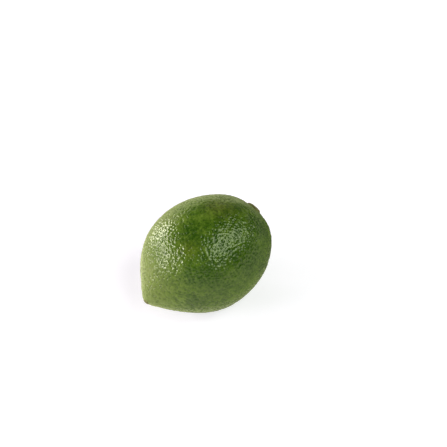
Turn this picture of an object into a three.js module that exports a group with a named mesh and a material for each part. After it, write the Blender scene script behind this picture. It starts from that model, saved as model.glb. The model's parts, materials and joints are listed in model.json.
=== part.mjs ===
// A whole ripe lime, as picked: one grown piece with a blunt nipple at one end and the dried
// calyx button at the other. It lies on a small flat spot with its nipple end a little lower.
// Sizes are in millimetres and +Z is up. The long axis runs along X with the nipple at -X, and
// the origin is the centre of the flat spot, on the surface that the lime lies on.

import * as THREE from "three";
import { mergeVertices } from "three/addons/utils/BufferGeometryUtils.js";

// The smooth body
const BELLY_RADIUS = 26; // half the width at the widest ring
const STEM_LENGTH = 32; // widest ring to stem end
const NIPPLE_LENGTH = 33.8; // widest ring to tip of the nipple
const NIPPLE_NARROWING = 0.567; // share of the width that is gone at the tip
const NIPPLE_ONSET = 3; // higher keeps the narrowing nearer the tip
const NIPPLE_BEND = new THREE.Vector3(0, 3.7, -1.6); // how far the tip sits off the straight axis
const SIDE_LEAN = 0.112; // the body runs this far back along X for each millimetre across Y
const TILT = THREE.MathUtils.degToRad(10); // nipple end down
const FLAT_SPOT_DEPTH = 0.85; // how much of the round underside the flat spot takes away

// Unevenness of the grown body
const SEGMENTS = 10; // the segments inside show as very faint swellings
const SEGMENT_SWELL = 0.1;
const LUMP_HEIGHT = 0.22; // low, wide lumps

// Stem end, which sits off the long axis; radii and reaches are angles from it, in radians
const STEM_POLE = new THREE.Vector3(1, -0.09, 0.23).normalize();
const STEM_DIP = 0.8; // depth of the hollow that the button sits in
const STEM_DIP_REACH = 0.32;
const SHOULDER_RIBS = 7;
const SHOULDER_RIB_HEIGHT = 0.14;
const BUTTON_RADIUS = 0.135; // about 3.5 mm
const BUTTON_HEIGHT = 0.9;
const BUTTON_LOBES = 5;
const BUTTON_LOBE_DEPTH = 0.16; // share of the radius between lobes
const STALK_SCAR_RADIUS = 0.055; // where the stalk broke away
const STALK_SCAR_DEPTH = 0.5;

// Nipple end
const COLLAR_DEPTH = 0.25; // shallow furrow that sets the nipple off on one side
const COLLAR_ANGLE = 0.62; // radians from the tip
const COLLAR_WIDTH = 0.13;
const TIP_SCAR_RADIUS = 0.12; // dry scar of the style, about 1.4 mm
const TIP_SCAR_HEIGHT = 0.2;

// Oil pits, larger than on the real skin so that they show in the solid
const PIT_SPACING = 3.9; // least distance between two pit middles
const PIT_RADIUS = 1.4;
const PIT_DEPTH = 0.34;
const PIT_TRIES = 6000;
const PIT_SEED = 20;

// Fineness of the surface
const ROUND_STEPS = 90;
const FINE_STEP = 0.025; // radians between rings at either end
const COARSE_STEP = 0.068; // radians between rings at the belly
const STEP_GROWTH = 0.16;

function seededRandom(seed) {
  let state = seed;
  return () => {
    state = (state + 0x6d2b79f5) | 0;
    let mixed = Math.imul(state ^ (state >>> 15), 1 | state);
    mixed = (mixed + Math.imul(mixed ^ (mixed >>> 7), 61 | mixed)) ^ mixed;
    return ((mixed ^ (mixed >>> 14)) >>> 0) / 2 ** 32;
  };
}

// 1 at the middle of a bump, falling smoothly to 0 well past its reach
function bump(distance, reach) {
  return Math.exp(-((distance / reach) ** 2));
}

// Angles from the stem end, closest together at both ends where the detail is small
function ringAngles() {
  const angles = [0];
  while (angles.at(-1) < Math.PI) {
    const last = angles.at(-1);
    const nearerEnd = Math.min(last, Math.PI - last);
    const fineZone = BUTTON_RADIUS * 1.4;
    const step = FINE_STEP + STEP_GROWTH * Math.max(0, nearerEnd - fineZone);
    angles.push(last + Math.min(step, COARSE_STEP));
  }
  const stretch = Math.PI / angles.at(-1);
  return angles.map((angle) => angle * stretch);
}

// A closed unit ball on which every vertex is a direction from the middle. Its rings close in on
// the tip and on the stem end, towards which they lean more and more.
function directionBall() {
  const profile = ringAngles().reverse().map(
    (angle) => new THREE.Vector2(Math.sin(angle), Math.cos(angle)),
  );
  profile[0].x = 0;
  profile.at(-1).x = 0;
  const ball = new THREE.LatheGeometry(profile, ROUND_STEPS);
  ball.rotateZ(-Math.PI / 2);
  ball.deleteAttribute("normal");
  ball.deleteAttribute("uv");
  const lean = STEM_POLE.clone().divideScalar(STEM_POLE.x).sub(new THREE.Vector3(1, 0, 0));
  const positions = ball.attributes.position;
  for (let index = 0; index < positions.count; index += 1) {
    const direction = new THREE.Vector3().fromBufferAttribute(positions, index);
    direction.addScaledVector(lean, Math.max(0, direction.x) ** 2).normalize();
    positions.setXYZ(index, direction.x, direction.y, direction.z);
  }
  return mergeVertices(ball, 1e-5);
}

// The smooth body without relief: an uneven egg whose nipple end narrows and bends
function bodyPoint(direction) {
  const towardsTip = Math.max(0, -direction.x);
  const width = BELLY_RADIUS * (1 - NIPPLE_NARROWING * towardsTip ** NIPPLE_ONSET);
  const length = direction.x > 0 ? STEM_LENGTH : NIPPLE_LENGTH;
  const side = width * direction.y;
  const point = new THREE.Vector3(
    length * direction.x - SIDE_LEAN * side,
    side,
    width * direction.z,
  );
  return point.addScaledVector(NIPPLE_BEND, towardsTip ** 4);
}

function bodyNormal(direction) {
  const length = direction.x > 0 ? STEM_LENGTH : NIPPLE_LENGTH;
  return new THREE.Vector3(
    direction.x / length,
    direction.y / BELLY_RADIUS,
    direction.z / BELLY_RADIUS,
  ).normalize();
}

// Pit middles on the smooth body, drawn at random and kept only where no other is too close
function pitMiddles() {
  const random = seededRandom(PIT_SEED);
  const middles = [];
  for (let attempt = 0; attempt < PIT_TRIES; attempt += 1) {
    const along = 2 * random() - 1;
    const turn = 2 * Math.PI * random();
    const across = Math.sqrt(1 - along * along);
    const direction = new THREE.Vector3(along, across * Math.cos(turn), across * Math.sin(turn));
    const middle = bodyPoint(direction);
    if (middles.every((other) => other.distanceTo(middle) > PIT_SPACING)) middles.push(middle);
  }
  return middles;
}

// The angle between a direction and the stem end, and the turn round the stem end
function stemAngles(direction) {
  const across = new THREE.Vector3(0, 1, 0).projectOnPlane(STEM_POLE).normalize();
  const up = STEM_POLE.clone().cross(across);
  return {
    fromStem: direction.angleTo(STEM_POLE),
    turn: Math.atan2(direction.dot(up), direction.dot(across)),
  };
}

// Faint segment swellings and low lumps, which make no two sides alike
function unevenness(direction, around) {
  const belly = 1 - direction.x ** 2;
  const swell = SEGMENT_SWELL * belly * Math.cos(SEGMENTS * around + 2 * direction.x);
  const lumps =
    Math.sin(5.1 * direction.y + 1.3) * Math.cos(4.3 * direction.z + 2.9 * direction.x) +
    0.6 * Math.sin(7.7 * direction.z - 3.1 * direction.y + 0.4);
  return swell + LUMP_HEIGHT * belly * lumps;
}

// The five-lobed dried calyx in its hollow, with the scar of the stalk in its middle
function stemEndRelief(fromStem, turn) {
  const lobes = Math.cos(BUTTON_LOBES * turn + 0.7);
  const edge = BUTTON_RADIUS * (1 - BUTTON_LOBE_DEPTH * (1 - lobes));
  const button = BUTTON_HEIGHT * Math.exp(-((fromStem / edge) ** 8));
  const scar = STALK_SCAR_DEPTH * Math.exp(-((fromStem / STALK_SCAR_RADIUS) ** 6));
  const ribs = Math.cos(SHOULDER_RIBS * turn + 1.1 * Math.sin(2 * turn));
  const shoulder = fromStem / STEM_DIP_REACH;
  const ribHeight = SHOULDER_RIB_HEIGHT * shoulder ** 2 * Math.exp(1 - shoulder ** 2);
  return button - scar - STEM_DIP * bump(fromStem, STEM_DIP_REACH) + ribHeight * ribs;
}

// The furrow round one side of the nipple, and the small dry knob at its tip
function nippleRelief(fromTip, around) {
  const oneSide = 0.5 + 0.5 * Math.cos(around - 1.2);
  const furrow = COLLAR_DEPTH * oneSide * bump(fromTip - COLLAR_ANGLE, COLLAR_WIDTH);
  const knob = TIP_SCAR_HEIGHT * Math.exp(-((fromTip / TIP_SCAR_RADIUS) ** 6));
  return knob - furrow;
}

// Pits fade out under the button and on the tip scar
function pitRelief(point, fromStem, fromTip, middles) {
  const nearest = Math.min(...middles.map((middle) => middle.distanceTo(point)));
  const clearOfEnds = 1 - bump(fromStem, 1.6 * BUTTON_RADIUS) - bump(fromTip, 1.5 * TIP_SCAR_RADIUS);
  return -PIT_DEPTH * Math.max(0, clearOfEnds) * bump(nearest, PIT_RADIUS);
}

// All vertices of the lime in its rest pose, with the underside still round
function tiltedSurface(geometry) {
  const middles = pitMiddles();
  const positions = geometry.attributes.position;
  const pose = new THREE.Matrix4().makeRotationY(-TILT);
  return Array.from({ length: positions.count }, (_, index) => {
    const direction = new THREE.Vector3().fromBufferAttribute(positions, index).normalize();
    const { fromStem, turn } = stemAngles(direction);
    const fromTip = Math.acos(THREE.MathUtils.clamp(-direction.x, -1, 1));
    const around = Math.atan2(direction.z, direction.y);
    const normal = bodyNormal(direction);
    const broad = unevenness(direction, around)
      + stemEndRelief(fromStem, turn)
      + nippleRelief(fromTip, around);
    const body = bodyPoint(direction);
    const relief = pitRelief(body, fromStem, fromTip, middles);
    const smooth = body.addScaledVector(normal, broad);
    const pitted = smooth.clone().addScaledVector(normal, relief);
    return { smooth: smooth.applyMatrix4(pose), pitted: pitted.applyMatrix4(pose) };
  });
}

// Sets the lime down: whatever of the round underside is below the floor is pressed flat, and
// the middle of that flat spot becomes the origin
function limeGeometry() {
  const geometry = directionBall();
  const surface = tiltedSurface(geometry);
  const lowest = Math.min(...surface.map(({ smooth }) => smooth.z));
  const floor = lowest + FLAT_SPOT_DEPTH;
  const flatSpot = new THREE.Box3().setFromPoints(
    surface.filter(({ smooth }) => smooth.z <= floor).map(({ smooth }) => smooth),
  );
  const middle = flatSpot.getCenter(new THREE.Vector3());
  surface.forEach(({ smooth, pitted }, index) => {
    const height = smooth.z <= floor ? 0 : Math.max(0, pitted.z - floor);
    geometry.attributes.position.setXYZ(
      index,
      pitted.x - middle.x,
      pitted.y - middle.y,
      height,
    );
  });
  geometry.computeVertexNormals();
  return geometry;
}

const peel = new THREE.MeshStandardMaterial({ color: 0x5a7a22, roughness: 0.35, metalness: 0 });
const lime = new THREE.Mesh(limeGeometry(), peel);
lime.name = "lime";

const part = new THREE.Group();
part.add(lime);

export default part;
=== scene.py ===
import json
import math

import bmesh
import bpy
import numpy as np
from mathutils import Matrix, Vector, kdtree, noise

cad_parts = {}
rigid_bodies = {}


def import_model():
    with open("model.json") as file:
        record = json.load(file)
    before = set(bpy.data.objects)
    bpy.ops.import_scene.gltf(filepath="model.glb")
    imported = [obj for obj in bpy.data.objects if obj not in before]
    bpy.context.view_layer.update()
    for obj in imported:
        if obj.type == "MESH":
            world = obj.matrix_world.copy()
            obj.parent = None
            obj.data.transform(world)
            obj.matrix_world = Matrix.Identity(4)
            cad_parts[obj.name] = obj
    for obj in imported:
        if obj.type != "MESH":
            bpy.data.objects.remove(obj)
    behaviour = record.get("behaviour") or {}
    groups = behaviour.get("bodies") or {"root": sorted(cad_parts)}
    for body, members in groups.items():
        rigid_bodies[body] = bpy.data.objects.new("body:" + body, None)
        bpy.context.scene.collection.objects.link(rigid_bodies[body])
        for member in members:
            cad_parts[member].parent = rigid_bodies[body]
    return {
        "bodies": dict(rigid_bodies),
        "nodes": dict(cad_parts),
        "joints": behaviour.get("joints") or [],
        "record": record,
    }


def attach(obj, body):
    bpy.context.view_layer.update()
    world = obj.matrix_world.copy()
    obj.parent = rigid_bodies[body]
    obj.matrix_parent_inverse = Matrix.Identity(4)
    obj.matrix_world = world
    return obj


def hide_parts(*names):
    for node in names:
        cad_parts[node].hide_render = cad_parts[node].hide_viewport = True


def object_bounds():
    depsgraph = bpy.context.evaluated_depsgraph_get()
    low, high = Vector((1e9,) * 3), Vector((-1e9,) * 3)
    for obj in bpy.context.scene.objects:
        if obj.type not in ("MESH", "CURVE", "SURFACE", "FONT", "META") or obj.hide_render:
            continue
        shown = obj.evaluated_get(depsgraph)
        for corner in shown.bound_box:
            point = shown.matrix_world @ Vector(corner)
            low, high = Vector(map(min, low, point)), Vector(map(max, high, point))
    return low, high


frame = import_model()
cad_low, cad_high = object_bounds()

# A whole lime, as picked. The peel repeats the solid's formulas in a finer mesh, and the dried
# calyx button and the scar at the tip are small closed pieces set into it.

MM = 0.001

# Body of the lime, as in the solid, in millimetres
BELLY_RADIUS = 26.0
STEM_LENGTH = 32.0
NIPPLE_LENGTH = 33.8
NIPPLE_NARROWING = 0.567
NIPPLE_ONSET = 3
NIPPLE_BEND = np.array([0.0, 3.7, -1.6])
SIDE_LEAN = 0.112
TILT = math.radians(10)
FLAT_SPOT_DEPTH = 0.85

# Unevenness, as in the solid
SEGMENTS = 10
SEGMENT_SWELL = 0.1
LUMP_HEIGHT = 0.22

# Stem end, as in the solid but for its lobes; radii and reaches are angles from it, in radians
STEM_POLE = Vector((1.0, -0.09, 0.23)).normalized()
STEM_ACROSS = (Vector((0, 1, 0)) - STEM_POLE * STEM_POLE.y).normalized()
STEM_FRAME = np.array([STEM_POLE, STEM_ACROSS, STEM_POLE.cross(STEM_ACROSS)])
STEM_DIP = 0.8
STEM_DIP_REACH = 0.32
SHOULDER_RIBS = 7
SHOULDER_RIB_HEIGHT = 0.14
BUTTON_RADIUS = 0.135
BUTTON_HEIGHT = 0.9
BUTTON_LOBES = 5
BUTTON_LOBE_DEPTH = 0.1  # less than in the solid, where the lobes have to show in few faces
BUTTON_LOBE_PHASE = 0.7
STALK_SCAR_RADIUS = 0.055
STALK_SCAR_DEPTH = 0.5

# Finer detail of the button: heights in millimetres, and places as shares of its outline
BUTTON_SPREAD = 1.15  # how much wider it lies than in the solid
BUTTON_RAGGEDNESS = [(13, 1, 0.035), (31, 0, 0.025)]  # waves per turn, phase, share of the radius
BUTTON_SHARPNESS = 9  # how steeply it drops at its edge
BUTTON_EDGE = 0.93
BUTTON_EDGE_SUNK = 0.35
LOBE_GROOVE = 0.14
BUTTON_CREASE = 0.1

# The stalk scar in its middle: heights in millimetres, and places as shares of the scar's radius
SCAR_HOLLOW_REACH = 0.8
SCAR_SHARPNESS = 6
SCAR_RIM_HEIGHT = 0.16
SCAR_RIM_PLACE = 1.05
SCAR_RIM_WIDTH = 0.22
SCAR_DOME_HEIGHT = 0.14
SCAR_DOME_REACH = 0.4
SCAR_BROWN = (0.065, 0.045)  # where the brown of the scar's rim starts and is full, in radians
SCAR_WOOD = (0.042, 0.034)  # the same for the woody stump in its middle

# Nipple end, as in the solid
TIP_FRAME = np.array([(-1, 0, 0), (0, 1, 0), (0, 0, 1)])
COLLAR_DEPTH = 0.25
COLLAR_ANGLE = 0.62
COLLAR_WIDTH = 0.13
TIP_SCAR_RADIUS = 0.12
TIP_SCAR_HEIGHT = 0.2

# Finer detail of the scar at the tip, in the button's units
TIP_SPREAD = 1.25
TIP_RAGGEDNESS = [(3, 0, 0.08), (7, 1, 0.05)]
TIP_NUB_REACH = 0.8
TIP_SHARPNESS = 6
TIP_EDGE = 0.85
TIP_EDGE_SUNK = 0.3
TIP_HOLLOW = 0.14
TIP_HOLLOW_REACH = 0.3
TIP_CREASE = 0.04

# Radial creases of both dried ends: how many go round, and the phase
CREASE_WAVES = [(9, 0.4), (14, 2.1), (23, 1.1), (37, 3.0)]

# Oil pits of the peel at their real size, in millimetres
PIT_SPACING = 1.33
PIT_JITTER = 0.38
PIT_RADIUS = 0.56
PIT_SHARPNESS = 1.5
PIT_DEPTH = 0.48
PIT_STRENGTHS = (0.4, 1.0)  # the shallowest and the deepest pit, as shares of the depth
PIT_SEED = 7
OVERLAPPING_PITS = 3  # how many of the nearest pits may shape one point
BARE_NEAR_BUTTON = 0.19  # radians from the stem end within which the pits fade out
BARE_NEAR_TIP = 0.13
DIMPLE_SIZE = 2.6
DIMPLE_HEIGHT = 0.1
DIMPLE_SEED = 1.0
GRAIN_SIZE = 1.0
GRAIN_HEIGHT = 0.02
GRAIN_SEED = 5.0

# Fineness of the meshes
PIT_STEPS = 4  # mesh edges from one pit middle to the next
PROFILE_POINTS = 400  # points along the body by which the pits are spread evenly
MERGE_DECIMALS = 6  # corners of the unit ball that agree to so many decimals are one
CAP_RINGS = 28
CAP_TURNS = 140
CAP_SUNK = 0.7  # how far the underside of a dried end piece lies below the skin, in millimetres

# Colours of the peel
DEEP = (0.02, 0.06, 0.002, 1)
GREEN = (0.065, 0.125, 0.006, 1)
OLIVE = (0.095, 0.145, 0.02, 1)
FRESH = (0.145, 0.21, 0.032, 1)
PALE = (0.195, 0.225, 0.08, 1)
YELLOW = (0.1, 0.125, 0.012, 1)
BROWN = (0.11, 0.115, 0.028, 1)
# darker green of the oil pits: partly the glands' own colour, partly painted shade in the hollows
PIT_GLAND_AND_SHADE = (0.018, 0.045, 0.002, 1)
GREY = (0.155, 0.185, 0.085, 1)
TAN = (0.24, 0.22, 0.08, 1)

# Sides of the peel that differ in colour, and a painted sheen along the top rim: which way they
# face, and how far out from the origin, in metres, the colour starts and is full
PALE_SIDE = (-0.5, 0.85, -0.1)
OLIVE_BORDER = (0.001, 0.011)
PALE_BORDER = (0.009, 0.023)
# painted reflection: a grey band along the top rim as the camera sees it, in place of the rim's
# gloss
PAINTED_SHEEN_SIDE = (0.54, 0.54, 0.64)
PAINTED_SHEEN_BORDER = (0.046, 0.051)
BORDER_WAVER = 0.012  # the most that a noise moves these borders, and the size of that noise

# Borders round the stem end: the angles from it at which the colour starts and is full
STEM_GREY_BORDER = (0.5, 0.25)
STEM_TAN_BORDER = (0.27, 0.16)

# Borders in the oil pits: the depths, from 0 to 1, at which the look starts and is full. Painted
# light lightens the ridges between the pits, and painted shade darkens the pits on top of the
# glands' own darker green
RIDGE_LIGHT_BORDER = (0.35, 0.1)
PIT_SHADE_BORDER = (0.15, 0.9)
PIT_DULL_BORDER = (0.3, 0.9)

# Patches of the peel: the place and reach in metres, how strong, and the colour
PATCHES_UNDER_MOTTLING = [
    ((-0.012, -0.005, 0.047), 0.008, 0.7, YELLOW),
    ((-0.007, -0.003, 0.050), 0.009, 0.8, DEEP),
    ((0.012, 0.001, 0.051), 0.012, 0.8, BROWN),
]
PATCHES_OVER_MOTTLING = [
    ((-0.012, -0.020, 0.036), 0.014, 0.85, DEEP),
    ((-0.0165, 0.0095, 0.0425), 0.014, 0.7, GREEN),
    ((0.006, -0.0235, 0.036), 0.013, 0.75, DEEP),
    ((0.021, -0.015, 0.041), 0.011, 0.7, DEEP),
]
GREY_PATCH = ((0.024, 0.007, 0.044), 0.017, 0.7, GREY)

# Noises of the peel: their sizes in metres, and the values between which they shift the broad
# tone, lighten and darken
TONE_SIZE = 0.016
CLOUD_SIZE = 0.006
MOTTLE_SIZE = 0.0024
WAX_SIZE = 0.004
SKIN_SIZE = 0.00035
TONE_SHIFT = (0.36, 0.64)
LIGHT_SPOTS = (0.5, 0.66)
DARK_SPOTS = (0.5, 0.34)

# Gloss of the peel, as roughness
WAX_SHIFT = (0.3, 0.7)  # the values of its noise between which the gloss changes
GLOSSY_WAX = 0.11
DULL_WAX = 0.17
PIT_DULLNESS = 0.15  # what an oil pit adds

# Studio
DIM_SIDE = (0.82, -0.57, 0.0)  # the side of the studio that is darkest
DIM_BORDER = (-0.5, 0.6)  # cosines of the angle to it where the light starts to dim and is dimmest
DIM_SHARE = 0.05  # what is left of the light there
HORIZON_GLOW = 0.85
OVERHEAD_GLOW = 0.07
OVERHEAD_FROM = 0.45  # sine of the height above which the gloss meets the overhead glow
FILL = 0.45  # light from all round, which the gloss doesn't show
STUDIO_TINT = (0.95, 1.0, 0.72, 1)
WHITE = (1, 1, 1, 1)
FLOOR_HALF_WIDTH = 3.0
FLOOR_COLOUR = (0.63, 0.57, 0.86, 1)  # what the camera sees, which offsets the lamps' tint
FLOOR_GLOW = 0.54  # keeps the shadow on the floor faint
FLOOR_REFLECTED = (0.72, 0.72, 0.54, 1)  # the floor as the lime's gloss and underside meet it
FLOOR_BOUNCE = 0.36  # how brightly the floor shines on them
DARK_CORNER = (0.12, 0.0, 0.0)  # the lime reflects no bright floor from here
DARK_CORNER_REACH = 0.17
DARK_REFLECTED = (0.03, 0.05, 0.005, 1)
BRIGHT_CORNER = (-0.05, 0.05, 0.0)  # the floor shines most brightly into the lime's rim here
BRIGHT_CORNER_REACH = 0.085
BRIGHT_BOUNCE = 1.5

# Lamps: azimuth and elevation they shine from in degrees, strength, width in degrees, colour
WARM_LIGHT = (1.0, 0.97, 0.76)
PALE_LIGHT = (1.0, 0.98, 0.8)
GREENISH_LIGHT = (0.87, 1.0, 0.64)
LAMPS = {
    "left_softbox": (-170, 8, 1.6, 22, WARM_LIGHT),
    "left_middle_softbox": (-140, 22, 0.95, 20, WARM_LIGHT),
    "front_left_softbox": (-114, 20, 1.25, 19, PALE_LIGHT),
    "right_softbox": (20, 57, 1.05, 32, GREENISH_LIGHT),
    "far_right_softbox": (54, 38, 0.6, 24, GREENISH_LIGHT),
    "front_right_softbox": (-12, 43, 0.6, 24, GREENISH_LIGHT),
}

# Camera and photograph
PHOTO_SIDE = 447
SENSOR = 36.0
LENS = 93.0
CAMERA_DISTANCE = 0.52
CAMERA_AZIMUTH = math.radians(-44.8)
CAMERA_ELEVATION = math.radians(50)
LIME_PIXEL = (203.5, 255.5)  # where the middle of the lime's box sits in the photograph


def bump(distance, reach):
    """1 at the middle, falling smoothly to 0 well past the reach."""
    return np.exp(-((distance / reach) ** 2))


def plateau(distance, reach, sharpness):
    """1 inside the reach and 0 outside it, with a rounded edge."""
    return np.exp(-((distance / reach) ** sharpness))


def body_points(directions):
    """The smooth body in millimetres, its long axis on X."""
    x, y, z = directions.T
    towards_tip = np.clip(-x, 0, 1)
    width = BELLY_RADIUS * (1 - NIPPLE_NARROWING * towards_tip**NIPPLE_ONSET)
    length = np.where(x > 0, STEM_LENGTH, NIPPLE_LENGTH)
    side = width * y
    points = np.column_stack([length * x - SIDE_LEAN * side, side, width * z])
    return points + np.outer(towards_tip**4, NIPPLE_BEND)


def body_normals(directions):
    length = np.where(directions[:, 0] > 0, STEM_LENGTH, NIPPLE_LENGTH)
    width = np.full(len(length), BELLY_RADIUS)
    normals = directions / np.column_stack([length, width, width])
    return normals / np.linalg.norm(normals, axis=1)[:, None]


def end_angles(directions, frame):
    """The angle from an end, and the turn round it. The rows of an end's frame are the
    directions towards the end, across it and up it."""
    towards, across, up = frame @ directions.T
    return np.arccos(np.clip(towards, -1, 1)), np.arctan2(up, across)


def directions_at(angle, turn, frame):
    shares = [np.cos(angle), np.sin(angle) * np.cos(turn), np.sin(angle) * np.sin(turn)]
    return np.column_stack(shares) @ frame


def broad_relief(directions):
    """Lumps, segment swellings, the hollow at the stem end and the furrow round the nipple, all
    by the solid's formulas."""
    x, y, z = directions.T
    from_stem, turn = end_angles(directions, STEM_FRAME)
    from_tip, around = end_angles(directions, TIP_FRAME)
    belly = 1 - x**2
    swell = SEGMENT_SWELL * belly * np.cos(SEGMENTS * around + 2 * x)
    lumps = np.sin(5.1 * y + 1.3) * np.cos(4.3 * z + 2.9 * x)
    lumps += 0.6 * np.sin(7.7 * z - 3.1 * y + 0.4)
    ribs = np.cos(SHOULDER_RIBS * turn + 1.1 * np.sin(2 * turn))
    shoulder = from_stem / STEM_DIP_REACH
    rib_height = SHOULDER_RIB_HEIGHT * shoulder**2 * np.exp(1 - shoulder**2)
    stem_end = rib_height * ribs - STEM_DIP * bump(from_stem, STEM_DIP_REACH)
    one_side = 0.5 + 0.5 * np.cos(around - 1.2)
    furrow = COLLAR_DEPTH * one_side * bump(from_tip - COLLAR_ANGLE, COLLAR_WIDTH)
    return swell + LUMP_HEIGHT * belly * lumps + stem_end - furrow


def smooth_skin(directions):
    """Points of the skin without its pits, and the directions in which relief stands up."""
    normals = body_normals(directions)
    return body_points(directions) + normals * broad_relief(directions)[:, None], normals


def pit_middles():
    """Directions of pit middles spread evenly over the skin, each nudged at random, and how
    deep each pit is."""
    angles = np.linspace(0, math.pi, PROFILE_POINTS)
    straight = np.eye(3)
    profile = body_points(directions_at(angles, np.full(len(angles), math.pi / 2), straight))
    strip = np.linalg.norm(np.diff(profile, axis=0), axis=1)
    width = np.abs(profile[:, 2])
    area = np.concatenate([[0], np.cumsum(strip * math.pi * (width[1:] + width[:-1]))])
    area_of_pit = PIT_SPACING**2 * math.sqrt(3) / 2
    count = int(area[-1] / area_of_pit)
    from_stem = np.interp((np.arange(count) + 0.5) / count * area[-1], area, angles)
    golden_turn = math.pi * (3 - math.sqrt(5))
    directions = directions_at(from_stem, golden_turn * np.arange(count), straight)
    random = np.random.default_rng(PIT_SEED)
    nudge = PIT_JITTER * PIT_SPACING / BELLY_RADIUS
    directions += random.uniform(-nudge, nudge, directions.shape)
    directions /= np.linalg.norm(directions, axis=1)[:, None]
    return directions, random.uniform(*PIT_STRENGTHS, count)


def pit_ball(middles):
    """Directions and triangles of a ball with a corner at every pit middle. Each triangle that
    joins three neighbouring pits is split evenly, so that every pit gets the same small mesh."""
    mesh = bmesh.new()
    for index, middle in enumerate(middles):
        mesh.verts.new(middle).index = index
    bmesh.ops.convex_hull(mesh, input=mesh.verts)
    joined = np.array([[corner.index for corner in face.verts] for face in mesh.faces])
    mesh.free()
    steps = PIT_STEPS
    shares = [(i, j, steps - i - j) for i in range(steps + 1) for j in range(steps + 1 - i)]
    place = {share[:2]: row for row, share in enumerate(shares)}
    small = []
    for i, j, rest in shares:
        if rest > 0:
            small.append((place[i, j], place[i + 1, j], place[i, j + 1]))
        if rest > 1:
            small.append((place[i + 1, j], place[i + 1, j + 1], place[i, j + 1]))
    points = np.einsum("sk,fkx->fsx", np.array(shares) / steps, middles[joined])
    points = points.reshape(-1, 3)
    points /= np.linalg.norm(points, axis=1)[:, None]
    starts = np.arange(len(joined)) * len(shares)
    triangles = (starts[:, None, None] + np.array(small)).reshape(-1, 3)
    _, first, merged = np.unique(
        np.round(points, MERGE_DECIMALS), axis=0, return_index=True, return_inverse=True
    )
    return points[first], merged.reshape(-1)[triangles]


def pit_depths(points, middles, strengths):
    """How deep each point lies in the oil pits, from 0 to about 1."""
    tree = kdtree.KDTree(len(middles))
    for index, middle in enumerate(middles):
        tree.insert(middle, index)
    tree.balance()
    depths = np.zeros(len(points))
    for row, point in enumerate(points):
        for _, index, distance in tree.find_n(point, OVERLAPPING_PITS):
            depth = strengths[index] * math.exp(-((distance / PIT_RADIUS) ** PIT_SHARPNESS))
            depths[row] = max(depths[row], depth)
    return depths


def soft_noise(points, size, seed):
    """Smooth bumps, from about -1 to 1, which each seed takes from another place."""
    offset = Vector((seed, 2.3 * seed, -1.7 * seed))
    return np.array([noise.noise(Vector(point) / size + offset) for point in points])


class RestPose:
    """Where the lime lies: tilted, let down on its flat spot and centred on the solid's box."""

    def __init__(self, smooth, pitted):
        self.turn = np.array(Matrix.Rotation(-TILT, 3, "Y")).T
        self.move = np.zeros(3)
        self.floor = (smooth @ self.turn)[:, 2].min() + FLAT_SPOT_DEPTH
        placed = self.place(pitted)
        middle = (placed.min(axis=0) + placed.max(axis=0)) / 2
        solid_middle = np.array((cad_low + cad_high) / 2)
        self.move[:2] = (solid_middle - middle)[:2]

    def place(self, points):
        """The points in metres, with all that would be under the floor pressed flat."""
        tilted = points @ self.turn
        tilted[:, 2] = np.maximum(tilted[:, 2] - self.floor, 0)
        return tilted * MM + self.move


def mesh_object(name, points, faces, material):
    mesh = bpy.data.meshes.new(name)
    mesh.from_pydata(points.tolist(), [], faces)
    mesh.materials.append(material)
    mesh.polygons.foreach_set("use_smooth", [True] * len(mesh.polygons))
    mesh.update()
    piece = bpy.data.objects.new(name, mesh)
    bpy.context.scene.collection.objects.link(piece)
    return piece


def store(piece, name, values):
    """Keeps one number per vertex for the material to read."""
    layer = piece.data.attributes.new(name, "FLOAT", "POINT")
    layer.data.foreach_set("value", np.asarray(values, dtype=np.float32))


def belongs_to_lime(piece):
    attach(piece, "root")
    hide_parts("lime")


class Nodes:
    """A node tree, with short ways to add and join nodes."""

    def __init__(self, tree):
        self.tree = tree

    def add(self, kind, settings=None, **inputs):
        node = self.tree.nodes.new(kind)
        for key, value in (settings or {}).items():
            setattr(node, key, value)
        for key, value in inputs.items():
            self.feed(node.inputs[key.replace("_", " ")], value)
        return node

    def feed(self, socket, value):
        if isinstance(value, bpy.types.NodeSocket):
            self.tree.links.new(value, socket)
        else:
            socket.default_value = value

    def attribute(self, name):
        return self.add("ShaderNodeAttribute", {"attribute_name": name}).outputs["Fac"]

    def position(self):
        return self.add("ShaderNodeTexCoord").outputs["Object"]

    def noise(self, size, detail=3.0, roughness=0.5, distortion=0.0):
        node = self.add("ShaderNodeTexNoise", Scale=1 / size, Detail=detail,
                        Roughness=roughness, Distortion=distortion, Vector=self.position())
        return node.outputs["Fac"]

    def band(self, value, low, high, start=0.0, end=1.0):
        """Maps low..high smoothly to start..end."""
        node = self.add("ShaderNodeMapRange", {"interpolation_type": "SMOOTHSTEP"})
        for socket, amount in zip(node.inputs, (value, low, high, start, end)):
            self.feed(socket, amount)
        return node.outputs["Result"]

    def between(self, share, first, second):
        """The first number where the share is 0, and the second where it is 1."""
        node = self.add("ShaderNodeMix", {"data_type": "FLOAT"})
        for socket, value in zip(node.inputs, (share, None, first, second)):
            if value is not None:
                self.feed(socket, value)
        return node.outputs[0]

    def maths(self, operation, first, second):
        node = self.add("ShaderNodeMath", {"operation": operation})
        self.feed(node.inputs[0], first)
        self.feed(node.inputs[1], second)
        return node.outputs[0]

    def along(self, direction, vector):
        """How far a vector reaches in a direction."""
        node = self.add("ShaderNodeVectorMath", {"operation": "DOT_PRODUCT"})
        self.feed(node.inputs[0], vector)
        node.inputs[1].default_value = direction
        return node.outputs["Value"]

    def near(self, place, reach):
        """1 at a place, falling to 0 at the reach."""
        node = self.add("ShaderNodeVectorMath", {"operation": "DISTANCE"})
        self.feed(node.inputs[0], self.position())
        node.inputs[1].default_value = place
        return self.band(node.outputs["Value"], reach, 0.0)

    def mix(self, factor, first, second):
        node = self.add("ShaderNodeMix", {"data_type": "RGBA"})
        colours = [socket for socket in node.inputs if socket.type == "RGBA"]
        self.feed(node.inputs["Factor"], factor)
        self.feed(colours[0], first)
        self.feed(colours[1], second)
        return next(socket for socket in node.outputs if socket.type == "RGBA")


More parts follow.
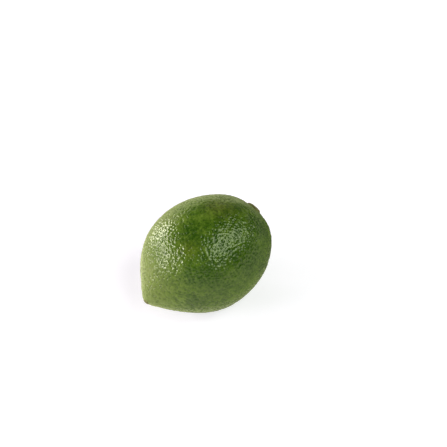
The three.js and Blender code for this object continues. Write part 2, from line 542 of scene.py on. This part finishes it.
class Material(Nodes):
    """A material's nodes, which end in its shader."""

    def __init__(self, name):
        self.material = bpy.data.materials.new(name)
        self.material.use_nodes = True
        super().__init__(self.material.node_tree)
        self.shader = self.tree.nodes["Principled BSDF"]

    def set(self, **values):
        for key, value in values.items():
            self.feed(self.shader.inputs[key.replace("_", " ")], value)

    def bumps(self, height, strength, distance):
        node = self.add("ShaderNodeBump", Strength=strength, Distance=distance, Height=height)
        self.set(Normal=node.outputs["Normal"])


def patched(m, colour, patches):
    """The colour with patches laid over it, each strongest at its place."""
    for place, reach, share, patch in patches:
        colour = m.mix(m.maths("MULTIPLY", m.near(place, reach), share), colour, patch)
    return colour


def peel_colour(m, pit, from_stem):
    """The colour of the peel, from its broad tones down to its oil pits, with a painted sheen
    along the top rim and painted light and shade on the ridges and hollows of the pits.
    """
    tone = m.noise(TONE_SIZE, detail=3, roughness=0.55, distortion=0.4)
    colour = m.mix(m.band(tone, *TONE_SHIFT), DEEP, GREEN)
    wavering = m.maths("MULTIPLY", m.noise(BORDER_WAVER, detail=2), BORDER_WAVER)
    facing = m.maths("ADD", m.along(PALE_SIDE, m.position()), wavering)
    pale_side = m.band(facing, *PALE_BORDER)
    colour = m.mix(m.band(facing, *OLIVE_BORDER), colour, OLIVE)
    colour = m.mix(pale_side, colour, PALE)
    colour = patched(m, colour, PATCHES_UNDER_MOTTLING)
    spots = m.mix(pale_side, DEEP, OLIVE)
    clouds = m.noise(CLOUD_SIZE, detail=3, roughness=0.6, distortion=0.5)
    colour = m.mix(m.band(clouds, *LIGHT_SPOTS, end=0.4), colour, FRESH)
    colour = m.mix(m.band(clouds, *DARK_SPOTS, end=0.35), colour, spots)
    mottle = m.noise(MOTTLE_SIZE, detail=4, roughness=0.8, distortion=0.6)
    colour = m.mix(m.band(mottle, *LIGHT_SPOTS, end=0.6), colour, FRESH)
    colour = m.mix(m.band(mottle, *DARK_SPOTS, end=0.7), colour, spots)
    colour = patched(m, colour, PATCHES_OVER_MOTTLING)
    colour = m.mix(m.band(from_stem, *STEM_GREY_BORDER, end=0.6), colour, GREY)
    colour = patched(m, colour, [GREY_PATCH])
    # painted sheen: grey along the top rim as the camera sees it, standing in for the rim's
    # reflection
    painted_sheen = m.maths("ADD", m.along(PAINTED_SHEEN_SIDE, m.position()), wavering)
    colour = m.mix(m.band(painted_sheen, *PAINTED_SHEEN_BORDER, end=0.8), colour, GREY)
    colour = m.mix(m.band(from_stem, *STEM_TAN_BORDER, end=0.6), colour, TAN)
    # painted light on the ridges between the oil pits, and painted shade in the pits over the
    # glands' own darker green
    colour = m.mix(m.band(pit, *RIDGE_LIGHT_BORDER, end=0.3), colour, OLIVE)
    return m.mix(m.band(pit, *PIT_SHADE_BORDER, end=0.5), colour, PIT_GLAND_AND_SHADE)


def peel_material():
    m = Material("peel")
    pit = m.attribute("pit")
    m.set(Base_Color=peel_colour(m, pit, m.attribute("from_stem")))
    waxy = m.band(m.noise(WAX_SIZE, detail=3), *WAX_SHIFT, start=GLOSSY_WAX, end=DULL_WAX)
    m.set(Roughness=m.maths("ADD", waxy, m.band(pit, *PIT_DULL_BORDER, end=PIT_DULLNESS)))
    m.bumps(m.noise(SKIN_SIZE, detail=2, roughness=0.6), strength=0.25, distance=0.00006)
    m.set(IOR=1.55, Subsurface_Weight=0.08, Subsurface_Radius=(0.8, 1.0, 0.25))
    m.set(Subsurface_Scale=0.0008, Sheen_Weight=0.12, Sheen_Roughness=0.35)
    m.set(Sheen_Tint=(1, 1, 0.6, 1))
    return m.material


def peel_piece():
    middles, strengths = pit_middles()
    directions, triangles = pit_ball(middles)
    from_stem, _ = end_angles(directions, STEM_FRAME)
    from_tip, _ = end_angles(directions, TIP_FRAME)
    smooth, normals = smooth_skin(directions)
    body = body_points(directions)
    near_ends = bump(from_stem, BARE_NEAR_BUTTON) + bump(from_tip, BARE_NEAR_TIP)
    clear_of_ends = np.clip(1 - near_ends, 0, 1)
    pits = pit_depths(body, body_points(middles), strengths) * clear_of_ends
    dimples = DIMPLE_HEIGHT * soft_noise(body, DIMPLE_SIZE, DIMPLE_SEED)
    grain = GRAIN_HEIGHT * soft_noise(body, GRAIN_SIZE, GRAIN_SEED)
    relief = (dimples + grain) * clear_of_ends - PIT_DEPTH * pits
    pitted = smooth + normals * relief[:, None]
    pose = RestPose(smooth, pitted)
    piece = mesh_object("peel", pose.place(pitted), triangles.tolist(), peel_material())
    store(piece, "pit", pits)
    store(piece, "from_stem", from_stem)
    belongs_to_lime(piece)
    return pose


def cap_faces():
    """Faces of a closed cap: the rings of its top from the middle out, the same rings under
    them, and a band that joins the two rims."""
    count = 1 + CAP_RINGS * CAP_TURNS
    turns = [(turn, (turn + 1) % CAP_TURNS) for turn in range(CAP_TURNS)]
    top = [(0, 1 + here, 1 + there) for here, there in turns]
    for ring in range(CAP_RINGS - 1):
        inner = 1 + ring * CAP_TURNS
        outer = inner + CAP_TURNS
        for here, there in turns:
            top.append((inner + here, outer + here, outer + there, inner + there))
    under = [tuple(count + corner for corner in reversed(face)) for face in top]
    rim = count - CAP_TURNS
    low_rim = count + rim
    band = [(rim + here, low_rim + here, low_rim + there, rim + there) for here, there in turns]
    return top + under + band


def cap_piece(name, pose, frame, outline, height, material):
    """A dried end piece that lies on the skin: its top follows the height, its rim dips into the
    skin, and a plain underside below the skin closes it."""
    shares = np.linspace(0, 1, CAP_RINGS + 1)[1:]
    turns = np.arange(CAP_TURNS) * 2 * math.pi / CAP_TURNS
    share, around = (grid.ravel() for grid in np.meshgrid(shares, turns, indexing="ij"))
    share = np.concatenate([[0], share])
    around = np.concatenate([[0], around])
    angle = share * outline(around)
    skin, normals = smooth_skin(directions_at(angle, around, frame))
    top = skin + normals * height(angle, around)[:, None]
    under = skin - normals * CAP_SUNK
    faces = cap_faces()
    if np.linalg.det(frame) < 0:
        faces = [tuple(reversed(face)) for face in faces]
    points = np.concatenate([pose.place(top), pose.place(under)])
    piece = mesh_object(name, points, faces, material)
    store(piece, "share", np.tile(share, 2))
    store(piece, "angle", np.tile(angle, 2))
    store(piece, "streak", np.tile(streaks(around), 2))
    belongs_to_lime(piece)


def streaks(around):
    """Radial creases, from -1 to 1, the same after each full turn."""
    waves = [np.cos(count * around + phase) for count, phase in CREASE_WAVES]
    return sum(waves) / len(waves)


def raggedness(around, waves):
    return sum(share * np.cos(count * around + phase) for count, phase, share in waves)


def sunk_edge(share, edge, depth):
    """How far the edge dips into the skin, from nothing where it starts to the depth."""
    return depth * np.clip((share - edge) / (1 - edge), 0, 1)


def button_lobes(around):
    """1 along the middle of each lobe and -1 between two of them."""
    return np.cos(BUTTON_LOBES * around + BUTTON_LOBE_PHASE)


def button_outline(around):
    lobed = 1 - BUTTON_LOBE_DEPTH * (1 - button_lobes(around))
    return BUTTON_SPREAD * BUTTON_RADIUS * (lobed + raggedness(around, BUTTON_RAGGEDNESS))


def button_height(angle, around):
    """Lobes that thin out to a curled edge, round a sunken stalk scar with a raised rim."""
    share = angle / button_outline(around)
    from_scar = angle / STALK_SCAR_RADIUS
    disc = BUTTON_HEIGHT * plateau(share, BUTTON_EDGE, BUTTON_SHARPNESS)
    hollow = STALK_SCAR_DEPTH * plateau(from_scar, SCAR_HOLLOW_REACH, SCAR_SHARPNESS)
    rim = SCAR_RIM_HEIGHT * bump(from_scar - SCAR_RIM_PLACE, SCAR_RIM_WIDTH)
    dome = SCAR_DOME_HEIGHT * bump(from_scar, SCAR_DOME_REACH)
    creases = BUTTON_CREASE * streaks(around) * np.clip(from_scar, 0, 1)
    grooves = LOBE_GROOVE * (0.5 - 0.5 * button_lobes(around)) * share
    edge = sunk_edge(share, BUTTON_EDGE, BUTTON_EDGE_SUNK)
    return disc - hollow + rim + dome + creases - grooves - edge


def button_material():
    m = Material("dried_calyx")
    share = m.attribute("share")
    angle = m.attribute("angle")
    streak = m.attribute("streak")
    leafy = (0.16, 0.15, 0.05, 1)
    tan = (0.29, 0.25, 0.12, 1)
    brown = (0.075, 0.058, 0.025, 1)
    woody = (0.45, 0.38, 0.24, 1)
    colour = m.mix(m.band(m.noise(size=0.0016, detail=3), 0.35, 0.65), leafy, tan)
    colour = m.mix(m.band(streak, 0.1, -0.7, end=0.6), colour, brown)
    colour = m.mix(m.band(share, 0.8, 1.0, end=0.75), colour, brown)
    colour = m.mix(m.band(angle, *SCAR_BROWN), colour, brown)
    colour = m.mix(m.band(angle, *SCAR_WOOD), colour, woody)
    colour = m.mix(m.band(m.noise(size=0.0004, detail=3), 0.5, 0.8, end=0.6), colour, brown)
    m.set(Base_Color=colour, Roughness=0.75)
    m.bumps(m.noise(size=0.0003, detail=3, roughness=0.6), strength=0.5, distance=0.0001)
    return m.material


def tip_outline(around):
    return TIP_SPREAD * TIP_SCAR_RADIUS * (1 + raggedness(around, TIP_RAGGEDNESS))


def tip_height(angle, around):
    """A low dry nub, hollow in its middle."""
    share = angle / tip_outline(around)
    nub = TIP_SCAR_HEIGHT * plateau(share, TIP_NUB_REACH, TIP_SHARPNESS)
    hollow = TIP_HOLLOW * bump(share, TIP_HOLLOW_REACH)
    creases = TIP_CREASE * streaks(around) * share
    return nub - hollow + creases - sunk_edge(share, TIP_EDGE, TIP_EDGE_SUNK)


def tip_material():
    m = Material("tip_scar")
    share = m.attribute("share")
    grey = (0.2, 0.2, 0.09, 1)
    brown = (0.08, 0.055, 0.025, 1)
    colour = m.mix(m.band(m.noise(size=0.0007, detail=3), 0.4, 0.7), grey, brown)
    colour = m.mix(m.band(share, 0.4, 0.1, end=0.8), colour, brown)
    colour = m.mix(m.band(share, 0.75, 1.0, end=0.5), colour, brown)
    m.set(Base_Color=colour, Roughness=0.7)
    m.bumps(m.noise(size=0.00025, detail=3, roughness=0.6), strength=0.5, distance=0.00008)
    return m.material


def view_direction(azimuth, elevation):
    """From the lime towards an azimuth, counted from -Y, and an elevation."""
    level = math.cos(elevation)
    return Vector((math.sin(azimuth) * level, -math.cos(azimuth) * level, math.sin(elevation)))


def camera():
    centre = (cad_low + cad_high) / 2
    back = view_direction(CAMERA_AZIMUTH, CAMERA_ELEVATION)
    right = Vector((math.cos(CAMERA_AZIMUTH), math.sin(CAMERA_AZIMUTH), 0))
    up = back.cross(right)
    metres_per_pixel = CAMERA_DISTANCE * SENSOR / (LENS * PHOTO_SIDE)
    middle_pixel = PHOTO_SIDE / 2
    aside = (middle_pixel - LIME_PIXEL[0]) * metres_per_pixel
    above = (LIME_PIXEL[1] - middle_pixel) * metres_per_pixel
    target = centre + right * aside + up * above
    data = bpy.data.cameras.new("camera")
    data.lens = LENS
    data.sensor_width = SENSOR
    seen_from = bpy.data.objects.new("camera", data)
    seen_from.location = target + back * CAMERA_DISTANCE
    seen_from.rotation_euler = (-back).to_track_quat("-Z", "Y").to_euler()
    bpy.context.scene.collection.objects.link(seen_from)
    bpy.context.scene.camera = seen_from


def soft_light(name, azimuth, elevation, strength, spread, colour):
    """A wide soft light far away."""
    towards = view_direction(math.radians(azimuth), math.radians(elevation))
    data = bpy.data.lights.new(name, "SUN")
    data.energy = strength
    data.angle = math.radians(spread)
    data.color = colour
    lamp = bpy.data.objects.new(name, data)
    lamp.rotation_euler = towards.to_track_quat("Z", "Y").to_euler()
    lamp.location = towards
    bpy.context.scene.collection.objects.link(lamp)


def surroundings():
    """In the gloss bright near the horizon and dim overhead, elsewhere a plain fill, both darker
    towards the dim side, and white where the camera looks past the floor."""
    world = bpy.data.worlds.new("studio")
    bpy.context.scene.world = world
    world.use_nodes = True
    n = Nodes(world.node_tree)
    n.tree.nodes.clear()
    direction = n.add("ShaderNodeTexCoord").outputs["Generated"]
    height = n.along((0, 0, 1), direction)
    glow = n.band(height, 0.0, OVERHEAD_FROM, HORIZON_GLOW, OVERHEAD_GLOW)
    side = n.band(n.along(DIM_SIDE, direction), *DIM_BORDER, 1.0, DIM_SHARE)
    ray = n.add("ShaderNodeLightPath")
    strength = n.maths("MULTIPLY", n.between(ray.outputs["Is Diffuse Ray"], glow, FILL), side)
    strength = n.between(ray.outputs["Is Camera Ray"], strength, 1.0)
    colour = n.mix(ray.outputs["Is Camera Ray"], STUDIO_TINT, WHITE)
    light = n.add("ShaderNodeBackground", Color=colour, Strength=strength)
    n.add("ShaderNodeOutputWorld", Surface=light.outputs[0])


def floor():
    """A pale floor. The lime's gloss and underside meet it in another colour than the camera
    does, with one dark and one bright place."""
    m = Material("floor")
    m.set(Roughness=1.0, Specular_IOR_Level=0.0)
    seen = m.add("ShaderNodeLightPath").outputs["Is Camera Ray"]
    dark = m.near(DARK_CORNER, DARK_CORNER_REACH)
    reflected = m.mix(dark, FLOOR_REFLECTED, DARK_REFLECTED)
    m.set(Base_Color=m.mix(seen, reflected, FLOOR_COLOUR))
    m.set(Emission_Color=m.mix(seen, reflected, WHITE))
    bounce = m.between(m.near(BRIGHT_CORNER, BRIGHT_CORNER_REACH), FLOOR_BOUNCE, BRIGHT_BOUNCE)
    m.set(Emission_Strength=m.between(seen, bounce, FLOOR_GLOW))
    half = FLOOR_HALF_WIDTH
    corners = np.array([(-half, -half, 0), (half, -half, 0), (half, half, 0), (-half, half, 0)])
    mesh_object("floor", corners, [(0, 1, 2, 3)], m.material)


bpy.context.scene.view_settings.view_transform = "Standard"
camera()
surroundings()
floor()
for name, lamp in LAMPS.items():
    soft_light(name, *lamp)
pose = peel_piece()
cap_piece("calyx_button", pose, STEM_FRAME, button_outline, button_height, button_material())
cap_piece("tip_scar", pose, TIP_FRAME, tip_outline, tip_height, tip_material())
